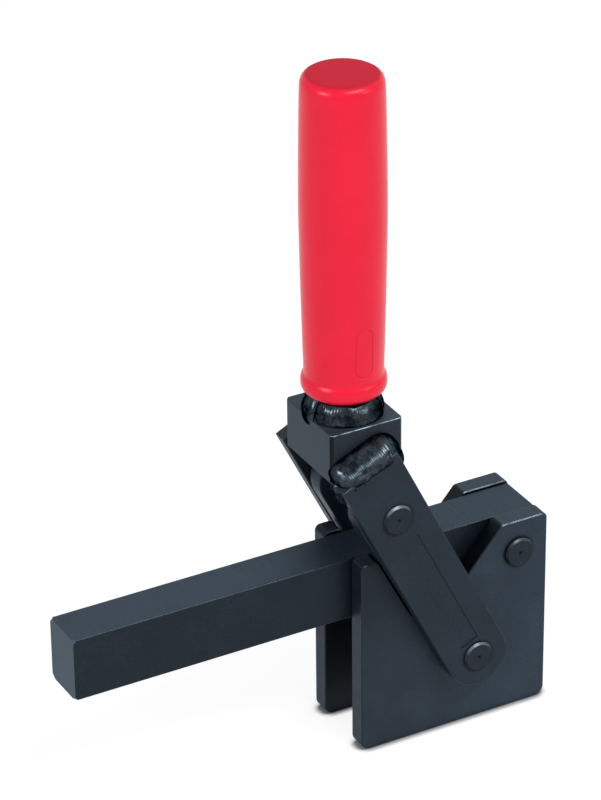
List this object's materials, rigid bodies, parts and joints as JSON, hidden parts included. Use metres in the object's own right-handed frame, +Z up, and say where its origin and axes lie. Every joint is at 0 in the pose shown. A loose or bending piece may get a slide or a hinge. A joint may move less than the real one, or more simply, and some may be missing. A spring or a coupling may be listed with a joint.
{
  "type": "toggle clamp",
  "caption": "Heavy vertical-handle toggle clamp with solid arm, weld-on side plates and red hand grip.",
  "frame": {"origin": "middle of the base, level with the lower edges of the two side plates", "axes": "+Z up along the grip, +X towards the rear, so that the clamping arm points to -X, +Y across the plates"},
  "size_m": [0.256, 0.071, 0.3597],
  "materials": {
    "blackened_steel": "blue-black oxide on ground steel, satin",
    "bright_steel": "plain turned steel, lightly oiled",
    "weld": "blackened weld metal, glossy, with ripples",
    "grip_red": "satin moulded plastic"
  },
  "bodies": {
    "base": {"side_plate_left": "blackened_steel", "side_plate_right": "blackened_steel", "arm_pivot_pin": "blackened_steel", "handle_pivot_bush_left": "bright_steel", "handle_pivot_bush_right": "bright_steel", "handle_pivot_sleeve": "blackened_steel"},
    "arm": {"clamping_arm": "blackened_steel", "arm_pivot_bush": "bright_steel", "toggle_bush": "bright_steel", "toggle_pin_middle": "blackened_steel"},
    "handle": {"handle_plate_left": "blackened_steel", "handle_plate_right": "blackened_steel", "handle_pivot_pin": "blackened_steel", "link_pin": "blackened_steel", "link_pin_sleeve": "blackened_steel", "handle_pivot_washer_left": "bright_steel", "handle_pivot_washer_right": "bright_steel", "link_washer_left": "bright_steel", "link_washer_right": "bright_steel", "handle_block": "blackened_steel", "grip_pipe": "blackened_steel", "hand_grip": "grip_red", "ring_weld": "weld", "plate_weld_left": "weld", "plate_weld_right": "weld"},
    "links": {"link_left": "blackened_steel", "link_right": "blackened_steel", "link_bush_left": "bright_steel", "link_bush_right": "bright_steel", "toggle_pin_end_left": "blackened_steel", "toggle_pin_end_right": "blackened_steel"}
  },
  "joints": [
    {"name": "handle_pivot", "type": "hinge", "parent": "base", "child": "handle", "pos_m": [0.0074, 0, 0.0429], "axis": [0, 1, 0], "range_deg": [0, 72]},
    {"name": "arm_pivot", "type": "hinge", "parent": "base", "child": "arm", "pos_m": [0.0365, 0, 0.08925], "axis": [0, 1, 0], "range_deg": [0, 89.56]},
    {"name": "link_pivot", "type": "hinge", "parent": "handle", "child": "links", "pos_m": [-0.03862, 0, 0.13501], "axis": [0, 1, 0], "range_deg": [0, 75.13]}
  ],
  "couplings": [
    {"joint": "arm_pivot", "follows": "handle_pivot", "ratio": 1.2439},
    {"joint": "link_pivot", "follows": "handle_pivot", "ratio": 1.0434}
  ]
}
